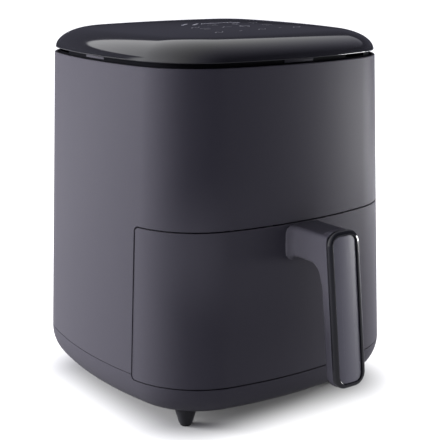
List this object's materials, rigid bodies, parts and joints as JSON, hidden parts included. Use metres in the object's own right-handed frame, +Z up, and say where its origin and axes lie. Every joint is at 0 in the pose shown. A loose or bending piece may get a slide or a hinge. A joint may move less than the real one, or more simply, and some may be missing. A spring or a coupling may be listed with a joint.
{
  "type": "air fryer",
  "caption": "Basket air fryer with a bowed satin body, a glossy domed touch top, a pull-out drawer with pan and crisper grid, a grip handle and tapered feet.",
  "frame": {"origin": "on the bench, under the middle of the whole outline, handle and cord gland included", "axes": "+Z up, front and handle towards -Y, +X to the right of someone who faces the front"},
  "size_m": [0.2662, 0.3272, 0.3222],
  "materials": {
    "body_plastic": "satin moulded plastic, fine spark texture",
    "base_plastic": "satin moulded plastic",
    "gloss_top": "high gloss, hard-coated",
    "inner_plastic": "heat-resistant plastic, fine grain",
    "foot_plastic": "satin",
    "foot_rubber": "soft rubber",
    "liner_steel": "aluminised sheet",
    "shield_steel": "galvanised sheet",
    "element_sheath": "heat-darkened steel sheath",
    "bright_steel": "bright rolled steel",
    "zinc_screws": "zinc plated",
    "lamination": "stacked laminations",
    "copper_winding": "enamelled copper wire",
    "bush_bronze": "sintered bronze",
    "circuit_board": "solder mask",
    "component_plastic": "moulded cases",
    "display_plastic": "smoked lens",
    "fan_aluminium": "pressed sheet",
    "pan_coating": "non-stick coating over steel",
    "silicone": "food-grade silicone",
    "switch_red": "moulded"
  },
  "bodies": {
    "housing": {"base_tray": "base_plastic", "base_deck": "inner_plastic", "feet": "foot_plastic", "foot_pads": "foot_rubber", "body_shell": "body_plastic", "neck_ring": "inner_plastic", "top_cover": "gloss_top", "control_board": "circuit_board", "display_module": "display_plastic", "bay_bulkhead": "inner_plastic", "drawer_bay": "inner_plastic", "bay_ceiling": "shield_steel", "chamber_liner": "liner_steel", "heat_shield": "shield_steel", "heating_element": "element_sheath", "element_clips": "bright_steel", "heater_guard": "bright_steel", "temperature_probe": "bright_steel", "thermal_cutout": "inner_plastic", "motor_bracket": "shield_steel", "motor_stator": "lamination", "motor_coil": "copper_winding", "motor_bridges": "bright_steel", "motor_bushes": "bush_bronze", "power_board": "circuit_board", "board_components": "component_plastic", "board_standoffs": "bright_steel", "exhaust_duct": "shield_steel", "exhaust_grille": "inner_plastic", "cord_gland": "inner_plastic", "door_switch": "inner_plastic", "base_screws": "zinc_screws", "cover_screws": "zinc_screws", "motor_screws": "zinc_screws", "bay_screws": "zinc_screws"},
    "drawer": {"drawer_front": "body_plastic", "drawer_panel": "inner_plastic", "pan": "pan_coating", "handle_body": "body_plastic", "handle_frame": "gloss_top", "handle_insert": "body_plastic", "handle_bracket": "bright_steel", "handle_screws": "zinc_screws", "front_screws": "zinc_screws"},
    "grid": {"crisper_grid": "pan_coating", "grid_bumpers": "silicone"},
    "fan": {"hot_fan": "fan_aluminium", "cooling_fan": "inner_plastic", "motor_shaft": "bright_steel", "motor_rotor": "lamination", "fan_nut": "bush_bronze"},
    "plunger": {"switch_plunger": "switch_red"}
  },
  "joints": [
    {"name": "drawer_slide", "type": "slide", "parent": "housing", "child": "drawer", "axis": [0, -1, 0], "range_m": [0, 0.24]},
    {"name": "grid_lift", "type": "slide", "parent": "drawer", "child": "grid", "axis": [0, 0, 1], "range_m": [0, 0.085]},
    {"name": "fan_spin", "type": "hinge", "parent": "housing", "child": "fan", "pos_m": [0, 0.02675, 0.24], "axis": [0, 0, 1], "continuous": true},
    {"name": "switch_press", "type": "slide", "parent": "housing", "child": "plunger", "axis": [0, 1, 0], "range_m": [0, 0.0006], "stiffness_N_per_m": 300, "springref_m": -0.002}
  ]
}
